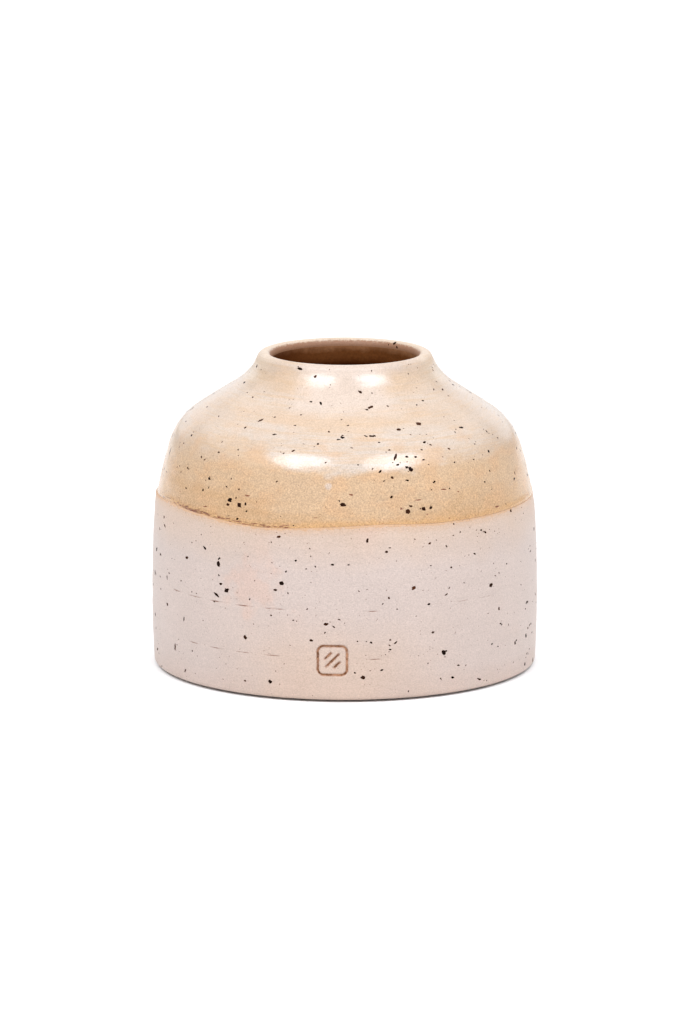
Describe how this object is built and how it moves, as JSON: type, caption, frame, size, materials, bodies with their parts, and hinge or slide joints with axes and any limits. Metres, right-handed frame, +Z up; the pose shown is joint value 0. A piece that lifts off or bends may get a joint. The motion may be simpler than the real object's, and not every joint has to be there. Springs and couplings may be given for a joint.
{
  "type": "ceramic bud vase",
  "caption": "Squat thrown stoneware bud vase with a bare speckled lower wall, glazed shoulder, narrow round mouth and small pressed chop.",
  "frame": {"origin": "middle of the foot ring's plane, on the turning axis", "axes": "+Z up along the turning axis, out of the mouth; -Y is the front, where the chop is"},
  "size_m": [0.1, 0.1, 0.0814],
  "materials": {
    "bare_stoneware": "matte, unglazed, speckled with iron",
    "honey_glaze": "glossy, cream to honey",
    "liner_glaze": "glossy, tan",
    "iron_oxide": "matte stain"
  },
  "bodies": {
    "root": {"stoneware_body": "bare_stoneware", "shoulder_glaze": "honey_glaze", "liner_glaze": "liner_glaze", "stamp_oxide": "iron_oxide"}
  },
  "joints": []
}
